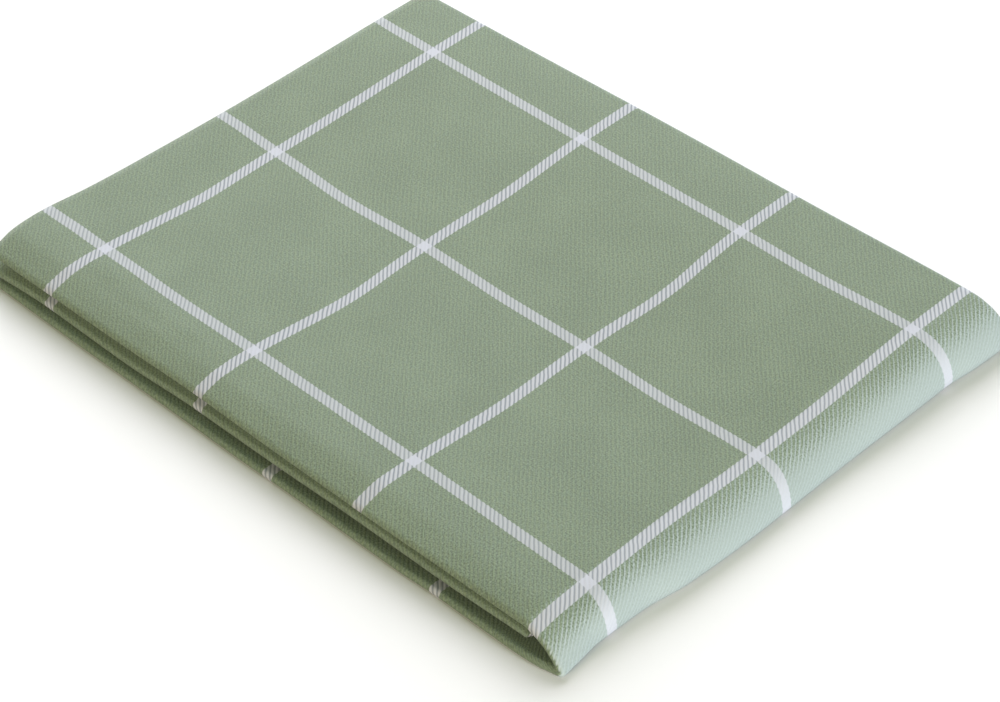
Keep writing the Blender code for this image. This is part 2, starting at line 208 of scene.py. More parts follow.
@dataclass(frozen=True)
class Wander:
    """A place on the top where the woven check strays from straight lines."""

    x: float
    y: float
    across: float  # how far it strays along X
    along: float  # and along Y
    spread: float = 0.018

    def share(self, x: np.ndarray, y: np.ndarray) -> np.ndarray:
        """Gives how much of it is felt at x, y."""
        return hump(x, self.x, self.spread) * hump(y, self.y, self.spread)


WANDERS = (
    # x, y, across, along; first the stripes along Y between those along X
    Wander(0.0244, 0.0526, 0.0012, 0.0),
    Wander(0.0854, 0.0526, 0.0018, 0.0),
    Wander(0.0854, 0.1172, 0.0008, 0.0),
    Wander(0.1464, 0.0526, 0.0007, 0.0),
    Wander(0.1464, 0.1172, 0.0018, 0.0),
    Wander(0.2074, 0.0526, -0.0006, 0.0),
    Wander(0.2074, 0.1172, 0.0004, 0.0),
    Wander(0.0549, 0.0849, 0.0, -0.0014),
    Wander(0.1159, 0.0849, 0.0, -0.0006),
    Wander(0.1769, 0.0849, 0.0, -0.0008),
    Wander(0.0549, 0.0203, 0.0, -0.0004),
    Wander(0.1769, 0.1495, 0.0, -0.0007),
)


@dataclass(frozen=True)
class FoldPlan:
    """Where every layer of the folded towel lies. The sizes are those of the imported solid."""

    cloth: float = 0.0010  # thickness of the woven cloth
    stack: float = 0.0121  # height of the folded towel near its edges
    sag: float = 0.0019  # how much lower its middle lies
    sag_shape: float = 1.5  # power of the sag's curve along Y
    sag_near_fold: float = 0.75  # share of the sag next to the last fold
    fold_run: Range = (0.140, 0.205)  # x over which it gets there
    sag_open_end: float = 0.45  # share of the sag at the open end
    open_run: float = 0.030  # length over which it gets back to the whole
    swells: tuple[tuple[float, float, float], ...] = ((0.00012, 31.0, 17.0), (0.0001, -23.0, 43.0))
    swell_run: Range = (0.010, 0.040)  # y over which the swells of the top come in
    crease_front: Range = (0.002, 0.008)  # y over which its creases come in
    crease_end: Range = (0.190, 0.203)  # x over which they go out
    bow: float = 0.0006  # how far the open edge bows in behind the front
    bow_run: Range = (0.030, 0.150)  # y over which it does so
    corner_out: float = 0.0014  # how far it stands out near the front corner
    corner_y: float = 0.018
    corner_spread: float = 0.016
    uneven_end: float = 0.00045  # half of how far every second layer's open edge lies in
    cross_pitch: float = 0.0610  # check spacing along X
    length_pitch: float = 0.0646  # check spacing along Y
    front_stripe: float = 0.0203  # y of the first stripe that runs along X
    last_stripe: float = 0.2074  # x of the last stripe before the last fold
    gap: float = 0.0004  # air kept between layers that lie close at the front
    back_less: float = 0.0006  # how much less far back the lower half's wrap lies
    lower_inside: float = 0.0012  # how far the lower open edges lie inside the upper ones
    roll: float = 0.0100  # the top rolls down to the front edge over this length
    roll_most: float = 1.3  # how far past the edge the roll goes on, as a share of its length
    roll_knee: float = 2.0 / 3.0  # share of the roll where its curve goes over into a slope
    roll_slope: float = 1.5
    ridge_run: Range = (0.014, 0.034)  # y over which the ridge behind the front fades out
    rise_run: Range = (0.150, 0.205)  # x over which the top rises to the last fold
    front_run: float = 0.0160  # the layers are back at their even levels behind this y
    loop_y: float = 0.003  # and up to this y the top fold's loop is whole
    hem_run: Range = (0.008, 0.015)  # y over which the room over the hem goes out
    fourth_run: Range = (0.016, 0.040)  # y over which layer 4 gets to its even level
    lower_y: float = 0.004  # y up to which the lower layers keep their front levels
    lower_more: float = 0.010  # how much further back than front_run they even out
    second_lower: float = 0.0019  # level of the lower half's second layer at the front
    third_lower: float = 0.0034  # and of its third layer
    lower_hem_y: float = 0.0090  # y where the lower half's front hem ends
    inner_hem_y: float = 0.0130  # y where the hem of layer 4 ends
    heel: float = 0.0006  # radius of the heels of layers 2 and 3
    heel_long: float = 1.15  # length of layer 1's heel, as a share of its height
    straight: float = 0.3  # share of the innermost layer's turn that stays straight
    fold_round: float = 1.2  # depth of a front fold's round, as a share of its half height
    nose_lift: float = 0.22  # how much nearer the top the upper fold's edge is, in layers
    nose_top: float = 0.75  # how straight the cloth comes down to that edge
    nose_under: float = 0.85  # how straight it goes back in under it
    nose_depth: float = 1.5  # how much deeper its round is below the edge than above
    nose_end: Range = (0.170, 0.205)  # x over which that shape fades out
    tip_straight: float = 0.5  # how straight the last fold comes down at the front edge
    tip_run: Range = (0.004, 0.022)  # y over which that fades out
    lower_round: float = 0.0007  # half height of the lower half's front fold
    wrap_depth: float = 0.0028  # depth in y of the back wrap's round
    wrap_step: float = 0.00138  # how far layer 2's wrap lies inside layer 1's
    inner_depth: float = 0.0010  # depth in y of layer 2's round there
    hem: Hem = Hem()

    # The edges are the outermost points of the cloth in y: of the upper fold, of the hem
    # under it and of the wrap at the back. ridge is how far the top stands above the
    # stack's height behind the front edge, droop how far it falls towards that edge, loop
    # the distance between layers 1 and 2 at the fold, and air the room over the hem.
    sections: Table = Table(
        ("x", "upper", "hem", "back", "ridge", "droop", "loop", "air"),
        (
            (0.0000, -0.0012, -0.0020, 0.1713, 0.0006, 0.0022, 0.0019, 0.0016),
            (0.0244, -0.0010, -0.0010, 0.1719, 0.0006, 0.0022, 0.0020, 0.0014),
            (0.0550, -0.0007, -0.0012, 0.1728, 0.0006, 0.0022, 0.0019, 0.0014),
            (0.0854, -0.0002, -0.0004, 0.1737, 0.0006, 0.0022, 0.0019, 0.0012),
            (0.1160, -0.0004, -0.0007, 0.1742, 0.0006, 0.0022, 0.0018, 0.0004),
            (0.1464, -0.0004, -0.0004, 0.1744, 0.0005, 0.0021, 0.0017, 0.0001),
            (0.1760, 0.0001, -0.0003, 0.1747, 0.0001, 0.0020, 0.0017, 0.0000),
            (0.2050, 0.0008, 0.0004, 0.1750, -0.0002, 0.0020, 0.0017, 0.0000),
        ),
    )
    # The lower fold's front edge, which stands out a little further.
    lowers: Table = Table(
        ("x", "edge"),
        (
            (0.0000, -0.0032),
            (0.0380, -0.0034),
            (0.0710, -0.0032),
            (0.1030, -0.0031),
            (0.1260, -0.0027),
            (0.1630, -0.0026),
            (0.1780, -0.0020),
            (0.2020, -0.0020),
            (0.2120, -0.0014),
            (0.2160, -0.0004),
        ),
    )
    # The last fold: before is how far before the last stripe it begins to curve, reach how
    # far its outer face goes past that, sole the height at which it reaches furthest, rise
    # the height that the top gains there, ply how much less layer 2 reaches than layer 1,
    # and inner_3 and inner_4 the reach of layers 3 and 4.
    folds: Table = Table(
        ("y", "before", "reach", "sole", "rise", "ply", "inner_3", "inner_4"),
        (
            (0.000, 0.0030, 0.0138, 0.0014, 0.0000, 0.0022, 0.0022, 0.0014),
            (0.008, 0.0030, 0.0131, 0.0018, 0.0000, 0.0021, 0.0036, 0.0014),
            (0.015, 0.0028, 0.0122, 0.0018, 0.0000, 0.0019, 0.0056, 0.0016),
            (0.030, 0.0024, 0.0124, 0.0020, 0.0000, 0.0017, 0.0076, 0.0020),
            (0.045, 0.0021, 0.0143, 0.0020, 0.0000, 0.0017, 0.0090, 0.0020),
            (0.070, 0.0020, 0.0153, 0.0020, 0.0000, 0.0017, 0.0092, 0.0020),
            (0.100, 0.0016, 0.0149, 0.0020, 0.0002, 0.0017, 0.0090, 0.0020),
            (0.147, -0.0005, 0.0137, 0.0028, 0.0009, 0.0017, 0.0084, 0.0020),
            (0.160, -0.0005, 0.0149, 0.0028, 0.0008, 0.0017, 0.0092, 0.0020),
            (0.176, -0.0005, 0.0156, 0.0028, 0.0006, 0.0017, 0.0096, 0.0020),
        ),
    )

    @property
    def span(self) -> float:
        """Gives x of the last section before the last fold."""
        return self.sections.rows[-1][0]

    @property
    def middle(self) -> float:
        """Gives y of the middle stripe that runs along X."""
        return self.front_stripe + self.length_pitch

    def open_end(self, depth: np.ndarray, y: np.ndarray) -> np.ndarray:
        """Gives x of the open edge, which is a little bowed and uneven from layer to layer."""
        bow = self.bow * ramp(y, *self.bow_run)
        corner = self.corner_out * hump(y, self.corner_y, self.corner_spread)
        return bow - corner + self.uneven_end * (1.0 - np.cos(math.pi * (depth - 1.0)))

    def fold_start(self, y: np.ndarray) -> np.ndarray:
        """Gives x at which the last fold begins to curve."""
        return self.last_stripe - self.folds.read("before", y)

    def top_height(self, x: np.ndarray, y: np.ndarray) -> np.ndarray:
        """Gives the height of the upper face of the stack."""
        across = np.cos(math.pi * (y - self.middle) / (2.0 * self.length_pitch))
        inner = np.abs(y - self.middle) < self.length_pitch
        hollow = self.sag * np.where(inner, np.maximum(0.0, across), 0.0) ** self.sag_shape
        hollow = hollow * mix(1.0, self.sag_near_fold, ramp(x, *self.fold_run))
        hollow = hollow * mix(self.sag_open_end, 1.0, ramp(x, 0.0, self.open_run))
        ridge = self.sections.read("ridge", x) * (1.0 - ramp(y, *self.ridge_run))
        near = np.clip(1.0 - y / self.roll, 0.0, self.roll_most)
        curved = self.roll_slope / (2.0 * self.roll_knee) * near**2
        sloped = self.roll_slope * (near - self.roll_knee / 2.0)
        droop = self.sections.read("droop", x) * np.where(near < self.roll_knee, curved, sloped)
        rise = self.folds.read("rise", y) * ramp(x, *self.rise_run)
        swell = sum(high * np.sin(by_x * x + by_y * y) for high, by_x, by_y in self.swells)
        creased = sum(crease.rise(x, y) for crease in CREASES)
        inland = ramp(y, *self.crease_front) * (1.0 - ramp(x, *self.crease_end))
        height = self.stack - hollow + ridge - droop + rise
        return height + swell * ramp(y, *self.swell_run) + creased * inland

    def upper_levels(self, x: np.ndarray, y: np.ndarray) -> np.ndarray:
        """Gives the middle heights of layers 1 to 4 in the upper half, a row for each layer."""
        height = self.top_height(x, y)
        step = (height - self.cloth) / (2.0 * LAYERS - 1.0)
        first = height - self.cloth / 2.0
        front = 1.0 - ramp(y, self.loop_y, self.front_run)
        second = first - mix(step, self.sections.read("loop", x), front)
        hem_step = self.cloth / 2.0 + self.gap + self.hem.front(x, True) / 2.0
        hem_step = np.maximum(step, hem_step + self.sections.read("air", x))
        third = second - mix(step, hem_step, 1.0 - ramp(y, *self.hem_run))
        fourth = third - np.maximum(step, self.cloth / 2.0 + self.gap + self.hem.hidden / 2.0)
        even = height - self.cloth / 2.0 - 3.0 * step
        fourth = mix(fourth, even, ramp(y, *self.fourth_run))
        return np.stack([first, second, third, fourth])

    def lower_levels(self, x: np.ndarray, y: np.ndarray) -> np.ndarray:
        """Gives the middle heights of layers 1 to 4 in the lower half, counted from the table."""
        step = (self.top_height(x, y) - self.cloth) / (2.0 * LAYERS - 1.0)
        first = np.full_like(step, self.cloth / 2.0)
        front = 1.0 - ramp(y, self.lower_y, self.front_run + self.lower_more)
        second = mix(first + step, self.second_lower, front)
        third = mix(first + 2.0 * step, self.third_lower, front)
        fourth = mix(first + 3.0 * step, self.third_lower + self.gap + self.hem.hidden, front)
        return np.stack([first, second, third, fourth])

    @staticmethod
    def at_depth(layers: np.ndarray, depth: np.ndarray) -> np.ndarray:
        """Reads values of layers 1 to 4 at depths that may lie between two layers."""
        whole = np.clip(depth.astype(int), 1, LAYERS - 1)
        column = np.arange(len(depth))
        return mix(layers[whole - 1, column], layers[whole, column], depth - whole)

    def reach(self, layer: int, y: np.ndarray) -> np.ndarray:
        """Gives how far past the start of the last fold the middle of a layer goes."""
        outer = self.folds.read("reach", y) - self.cloth / 2.0
        if layer == 1:
            return outer
        if layer == 2:
            return outer - self.folds.read("ply", y)
        return self.folds.read(f"inner_{layer}", y)

    def heel_size(self, layer: int, y: np.ndarray) -> tuple[np.ndarray, np.ndarray]:
        """Gives length and height of a layer's tight curve at the foot of the last fold."""
        if layer == 1:
            sole = self.folds.read("sole", y) - self.cloth / 2.0
            return sole * self.heel_long, sole
        if layer < LAYERS:
            return np.full_like(y, self.heel), np.full_like(y, self.heel)
        start = self.fold_start(y)
        half = (self.upper_levels(start, y)[3] - self.lower_levels(start, y)[3]) / 2.0
        return half, half

    def layer_turn(self, share: float, layer: int, y: np.ndarray) -> tuple[np.ndarray, np.ndarray]:
        """Gives x and z of a layer on the long curve that leads down from the upper half.

        Args:
            share: how far along the curve, from 0 at its start to 1 where it reaches furthest.
            layer: the layer, 1 for the outermost.
            y: the places along the fold.

        Returns:
            x and z at each place.
        """
        start = self.fold_start(y)
        tops, bottoms = self.upper_levels(start, y), self.lower_levels(start, y)
        top = tops[layer - 1]
        widest = bottoms[layer - 1] + self.heel_size(layer, y)[1]
        far = self.reach(layer, y)
        angle = share * math.pi / 2.0
        if layer == 2:
            outer_far = self.reach(1, y)
            outer_widest = bottoms[0] + self.heel_size(1, y)[1]
            rise = tops[0] - outer_widest
            slope = np.hypot(math.sin(angle) / outer_far, math.cos(angle) / rise)
            inside = mix(tops[0] - top, self.folds.read("ply", y), share) / slope
            x = outer_far * math.sin(angle) - inside * math.sin(angle) / outer_far
            z = rise * math.cos(angle) - inside * math.cos(angle) / rise
            z = z * (top - widest) / (top - outer_widest)
        elif layer == LAYERS:
            bend = max(0.0, (share - self.straight) / (1.0 - self.straight)) * math.pi / 2.0
            radius = top - widest
            run = (far - radius) * min(1.0, share / self.straight)
            return start + run + radius * math.sin(bend), widest + radius * math.cos(bend)
        else:
            x, z = far * math.sin(angle), (top - widest) * math.cos(angle)
        flat = self.tip_straight * (1.0 - ramp(y, *self.tip_run)) * (layer < 3)
        x = mix(x, far * share, flat)
        return start + x, widest + mix(z, (top - widest) * (1.0 - share), flat)

    def layer_heel(self, share: float, layer: int, y: np.ndarray) -> tuple[np.ndarray, np.ndarray]:
        """Gives x and z of a layer on the tight curve that leads back under the stack."""
        length, height = self.heel_size(layer, y)
        start = self.fold_start(y)
        bottom = self.lower_levels(start, y)[layer - 1]
        angle = share * math.pi / 2.0
        x = start + self.reach(layer, y) - length * (1.0 - math.cos(angle))
        return x, bottom + height * (1.0 - math.sin(angle))

    def place(self, part: Part, share: float, depth: np.ndarray, y: np.ndarray) -> np.ndarray:
        """Gives the middle of the cloth on one line across the towel.

        Args:
            part: the part of the stack that the line runs through.
            share: how far along that part the line is.
            depth: the depth in layers of each point on the line.
            y: the y of each point on the line.

        Returns:
            One row of x, y and z for each point.
        """
        if part is Part.UPPER:
            x = mix(self.open_end(depth, y), self.fold_start(y), share)
            z = self.at_depth(self.upper_levels(x, y), depth)
            return np.stack([x, y, z], axis=1)
        if part is Part.LOWER:
            start = self.place(Part.HEEL, 1.0, depth, y)[:, 0]
            x = mix(start, self.open_end(depth, y) + self.lower_inside, share)
            levels = self.lower_levels(np.minimum(x, self.fold_start(y)), y)
            return np.stack([x, y, self.at_depth(levels, depth)], axis=1)
        curve = self.layer_turn if part is Part.TURN else self.layer_heel
        found = [curve(share, layer, y) for layer in range(1, LAYERS + 1)]
        x = self.at_depth(np.stack([x for x, _ in found]), depth)
        z = self.at_depth(np.stack([z for _, z in found]), depth)
        return np.stack([x, y, z], axis=1)


@dataclass(frozen=True)
class Station:
    """A line along the towel's length, at one place across its width."""

    part: Part
    share: float
    turned: float  # how far round the last fold it is


@dataclass(frozen=True)
class Steps:
    """How many pieces the curves of the cloth have."""

    upper: int = 88
    turn: int = 24
    heel: int = 8
    lower: int = 50
    field: int = 90
    front: int = 6
    fold: int = 24
    wrap: int = 20
    inner: int = 12
    hidden: int = 15
    third: int = 26


@dataclass(frozen=True)
class TowelCloth:
    """The towel's one sheet of cloth, laid on its folds."""

    plan: FoldPlan = FoldPlan()
    steps: Steps = Steps()
    name: str = "towel_sheet"
    flat: tuple[float, float] = (0.45, 0.70)
    turn_share: float = 7.0 / 11.0  # share of the way round the last fold that the turn takes
    lower_power: float = 1.2  # above 1 the lower half's lines lie closer near the last fold
    hem_turned: Range = (0.1, 0.9)  # share of the last fold over which the hem draws in
    back_turned: Range = (0.5, 1.0)  # and over which the back wrap does
    thinned: float = 0.8  # share of it where the front hem has its hidden thickness
    field_y: Range = (0.017, 0.161)  # y of the even lines
    front_y: Range = (0.0062, 0.0140)  # y of the closer ones in front of them
    rim: tuple[float, ...] = (0.0, 0.0001, 0.0003, 0.0006, 0.0009, 0.0012)  # round a hem's edge
    past_rim: tuple[float, ...] = (0.0018, 0.0030)
    third_start: float = 0.0045  # where the lines of layer 3 go on behind its hem's edge
    third_power: float = 1.6  # above 1 they lie closer near it
    clear: float = 1.0  # a distance at which no hem is near
    edge_columns: tuple[str, str, str] = ("upper", "hem", "back")

    lower_stripe: float = 0.1757  # x of the first stripe of the lower half
    slack_start: float = 0.041  # how far before it the pattern of the lower half moves
    slack_run: float = 0.035  # length over which that pattern finds its place
    slant: float = 0.0010  # how far the last fold's stripes slant to the front on their way down
    slant_more: float = 0.0020  # and how much further the middle one does
    slant_y: Range = (0.086, 0.030)  # its place, and how far round it this reaches
    slant_run: Range = (0.15, 0.62)  # share of the last fold over which they slant

    # Where the last fold's face gets its painted highlight and sheen, together with its opened
    # weave:
    opened_sheen_first: float = 0.16  # how open the weave is, and how much sheen is painted on it, right past the last stripe
    opened_sheen_before: float = 0.002  # length before that stripe over which it opens so far
    opened_sheen_turn: Range = (0.10, 0.66)  # share of the turn over which it opens
    sheen_tip_later: float = 0.14  # how much later it does so at the front
    tip_run: Range = (0.008, 0.030)  # y over which that fades out
    sheen_closed_run: float = 0.012  # length under the towel over which it closes again
    opened_sheen_depth: Range = (1.10, 1.45)  # the depth in layers over which it goes out
    hem_plain: tuple[Range, Range] = ((0.126, 0.132), (0.164, 0.170))  # x where no check shows
    hem_plain_y: Range = (0.009, 0.011)  # on the upper half's hem, in front of this
    lower_plain: tuple[Range, Range] = ((0.034, 0.040), (0.072, 0.078))
    lower_plain_y: Range = (0.020, 0.026)  # and on the lower half's first two layers

    def stations(self) -> list[Station]:
        """Gives the lines along the towel's length, from one open edge to the other."""
        steps, turn = self.steps, self.turn_share
        found = [Station(Part.UPPER, i / steps.upper, 0.0) for i in range(steps.upper + 1)]
        for i in range(1, steps.turn + 1):
            found.append(Station(Part.TURN, i / steps.turn, turn * i / steps.turn))
        for i in range(1, steps.heel + 1):
            found.append(Station(Part.HEEL, i / steps.heel, mix(turn, 1.0, i / steps.heel)))
        for i in range(1, steps.lower + 1):
            found.append(Station(Part.LOWER, (i / steps.lower) ** self.lower_power, 1.0))
        return found

    def edges(self, station: Station) -> tuple[float, float, float]:
        """Gives y of the front fold, the front hem and the back wrap at a station."""
        plan = self.plan
        read = plan.sections.read
        if station.part is Part.UPPER:
            return tuple(float(read(edge, station.share * plan.span)) for edge in self.edge_columns)
        share = station.share if station.part is Part.LOWER else 0.0
        x = plan.place(Part.LOWER, share, np.array([1.0]), np.array([0.0]))[0, 0]
        lower = float(plan.lowers.read("edge", x))
        if station.part is Part.LOWER:
            return lower, plan.lower_hem_y, float(read("back", x)) - plan.back_less
        front, hem, back = (float(read(edge, plan.span)) for edge in self.edge_columns)
        front = mix(front, lower, ramp(station.turned, 0.0, 1.0))
        hem = mix(hem, plan.lower_hem_y, ramp(station.turned, *self.hem_turned))
        return front, hem, back - plan.back_less * ramp(station.turned, *self.back_turned)

    def fold_line(self, front: float, depth_y: float, nose: float) -> tuple[np.ndarray, np.ndarray]:
        """Gives the front fold's round.

        Args:
            front: y of its edge.
            depth_y: depth in y of its round.
            nose: how much its edge is lifted and pressed, from 0 for a plain round to 1.

        Returns:
            Depth in layers and y of each point.
        """
        plan = self.plan
        angle = half_turn(self.steps.fold)
        lift = plan.nose_lift * nose * np.cos(angle) ** 2
        straight = np.where(angle < 0.0, plan.nose_top, plan.nose_under) * nose
        deep = depth_y * np.where(angle < 0.0, 1.0, mix(1.0, plan.nose_depth, nose))
        back = mix(1.0 - np.cos(angle), np.abs(np.sin(angle)), straight)
        return 1.5 + 0.5 * np.sin(angle) - lift, front + deep * back

    def line(
        self, front: float, hem: float, back: float, depth_y: float, nose: float
    ) -> np.ndarray:
        """Gives the towel's length as one back-and-forth line.

        Args:
            front: y of the front fold.
            hem: y of the front hem.
            back: y of the back wrap.
            depth_y: depth in y of the front fold's round.
            nose: how much the front fold's edge is lifted and pressed.

        Returns:
            One row of depth in layers, y, and distance to a hem for each point.
        """
        plan, steps, clear = self.plan, self.steps, self.clear
        low, high = self.field_y
        front, back = front + plan.cloth / 2.0, back - plan.cloth / 2.0
        rim = np.array(self.rim)
        hidden = np.linspace(low, high, steps.hidden)
        fronts = np.linspace(*self.front_y, steps.front)
        wrap, inner = half_turn(steps.wrap), half_turn(steps.inner)
        wrap_y = back - plan.wrap_depth * (1.0 - np.cos(wrap))
        inner_y = back - plan.wrap_step - plan.inner_depth * (1.0 - np.cos(inner))
        field = np.linspace(high, low, steps.field)
        near_hem = hem + np.array(self.rim + self.past_rim)
        further = np.linspace(0.0, 1.0, steps.third) ** self.third_power
        third = np.concatenate([near_hem, mix(hem + self.third_start, high, further)])[::-1]
        runs = (
            (4.0, plan.inner_hem_y + rim, rim),
            (4.0, hidden, hidden - plan.inner_hem_y),
            (2.5 - 1.5 * np.sin(wrap), wrap_y, clear),
            (1.0, np.concatenate([field, fronts[::-1]]), clear),
            (*self.fold_line(front, depth_y, nose), clear),
            (2.0, np.concatenate([fronts, hidden]), clear),
            (2.5 + 0.5 * np.sin(inner), inner_y, clear),
            (3.0, third, third - hem),
        )
        return np.concatenate([np.stack(np.broadcast_arrays(*run), axis=1) for run in runs])

    def marks(self, station: Station, line: np.ndarray, x: np.ndarray) -> np.ndarray:
        """Gives how the weave shows along a line, and where the last fold's sheen is painted.

        Args:
            station: the line's station.
            line: its rows of depth, y and distance.
            x: the x of its points.

        Returns:
            For each point, how far the last fold opens the weave and paints its sheen, and how much
            of the check shows.
        """
        depth, y = line[:, 0], line[:, 1]
        last = self.plan.last_stripe
        shown = np.ones_like(y)
        if station.part is Part.TURN:
            later = self.sheen_tip_later * (1.0 - ramp(y, *self.tip_run))
            opened_sheen = mix(self.opened_sheen_first, 1.0, ramp(station.share - later, *self.opened_sheen_turn))
        elif station.part is Part.HEEL:
            opened_sheen = np.ones_like(y)
        elif station.part is Part.LOWER:
            opened_sheen = 1.0 - ramp(self.plan.fold_start(y) - x, 0.0, self.sheen_closed_run)
            hidden = between(x, *self.lower_plain) * (depth <= 2.0)
            shown = 1.0 - hidden * (1.0 - ramp(y, *self.lower_plain_y))
        else:
            opened_sheen = self.opened_sheen_first * ramp(x, last - self.opened_sheen_before, last)
            hidden = between(x, *self.hem_plain) * (depth == 3.0)
            shown = 1.0 - hidden * (1.0 - ramp(y, *self.hem_plain_y))
        return np.stack([opened_sheen * (1.0 - ramp(depth, *self.opened_sheen_depth)), shown], axis=1)

    def lay(self) -> tuple[np.ndarray, np.ndarray, np.ndarray, np.ndarray]:
        """Lays the cloth on its folds.

        Returns:
            The middle of the cloth, its thickness, its place on the flat cloth in metres
            across and along, and how its weave shows with the last fold's painted sheen, each by
            station and by point of the line.
        """
        plan = self.plan
        places, thicks, flats, marks = [], [], [], []
        before = None
        for station in self.stations():
            upper = station.part is Part.UPPER
            x = station.share * plan.span if upper else plan.span
            half = float(plan.sections.read("loop", x)) / 2.0 if upper else plan.lower_round
            nose = 1.0 - float(ramp(np.float64(x), *plan.nose_end))
            line = self.line(*self.edges(station), half * plan.fold_round, nose)
            depth, y, distance = line.T
            place = plan.place(station.part, station.share, depth, y)
            shown = float(plan.hem.front(x, station.part is not Part.LOWER))
            shown = mix(shown, plan.hem.hidden, ramp(station.turned, 0.0, self.thinned))
            hem = np.where(depth == 3.0, shown, plan.hem.hidden)
            places.append(place)
            thicks.append(plan.hem.thickness(distance, hem, plan.cloth))
            flats.append(self.on_flat(station, line, place, before))
            marks.append(self.marks(station, line, place[:, 0]))
            before = (place, flats[-1][:, 0])
        return np.stack(places), np.stack(thicks), np.stack(flats), np.stack(marks)

    def on_flat(
        self,
        station: Station,
        line: np.ndarray,
        place: np.ndarray,
        before: tuple[np.ndarray, np.ndarray] | None,
    ) -> np.ndarray:
        """Gives where the points of a line are on the flat cloth, so the check follows the folds.

        Args:
            station: the line's station.
            line: its rows of depth, y and distance.
            place: where its points lie.
            before: the places and the distances across of the station before it, if any.

        Returns:
            One row of distance across and distance along, in metres, for each point.
        """
        x, y = place[:, 0], line[:, 1]
        strays = [(wander, wander.share(x, y)) for wander in WANDERS]
        if station.part is Part.UPPER or before is None:
            across = x - sum(wander.across * share for wander, share in strays)
        else:
            across = before[1] + np.linalg.norm(place - before[0], axis=1)
        if station.part is Part.LOWER:
            settled = self.plan.last_stripe + self.plan.cross_pitch + self.lower_stripe - x
            past = ramp(self.lower_stripe + self.slack_start - x, 0.0, self.slack_run)
            across = mix(across, settled, past)
        steps = np.linalg.norm(np.diff(place[:, 1:], axis=0), axis=1)
        length = np.concatenate([[0.0], np.cumsum(steps)])
        top = line[:, 0] == 1.0
        anchor = np.interp(-self.plan.front_stripe, -y[top], length[top])
        along = self.plan.front_stripe + anchor - length
        along = along - sum(wander.along * share for wander, share in strays)
        slant = self.slant + self.slant_more * hump(y, *self.slant_y)
        along = along + slant * ramp(station.turned, *self.slant_run)
        return np.stack([across, along], axis=1)

    def build(self) -> bpy.types.Object:
        """Makes the cloth: a grid laid on the folds, given its thickness by a modifier.

        Returns:
            The cloth's object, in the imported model's frame.
        """
        places, thicks, flats, marks = self.lay()
        rows, columns = thicks.shape
        points = places.reshape(-1, 3) + np.array(TO_FRAME)
        index = np.arange(rows * columns).reshape(rows, columns)
        corners = [index[:-1, :-1], index[:-1, 1:], index[1:, 1:], index[1:, :-1]]
        faces = np.stack([corner.ravel() for corner in corners], axis=1)
        mesh = bpy.data.meshes.new(self.name)
        mesh.from_pydata(points.tolist(), [], faces.tolist())
        mesh.shade_smooth()
        sheet_map = mesh.uv_layers.new(name=CottonTwill.map_name)
        sheet_map.data.foreach_set("uv", flats.reshape(-1, 2)[faces.ravel()].ravel())
        for i, mark in enumerate((CottonTwill.opened_sheen_mark, CottonTwill.shown_mark)):
            layer = mesh.attributes.new(mark, "FLOAT", "POINT")
            layer.data.foreach_set("value", marks[:, :, i].ravel())
        cloth = bpy.data.objects.new(self.name, mesh)
        bpy.context.scene.collection.objects.link(cloth)
        group = cloth.vertex_groups.new(name="thickness")
        for i, share in enumerate((thicks / self.plan.hem.top).ravel().tolist()):
            group.add([i], share, "REPLACE")
        solid = cloth.modifiers.new("cloth thickness", "SOLIDIFY")
        solid.thickness = self.plan.hem.top
        solid.offset = 0.0
        solid.vertex_group = group.name
        solid.thickness_vertex_group = 0.0
        return cloth

    def dress(self, cloth: bpy.types.Object, material: bpy.types.Material) -> None:
        """Args:
            cloth: the cloth's object.
            material: its woven finish.
        """
        cloth.data.materials.append(material)
        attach(cloth, "root")
        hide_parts("towel_cloth")


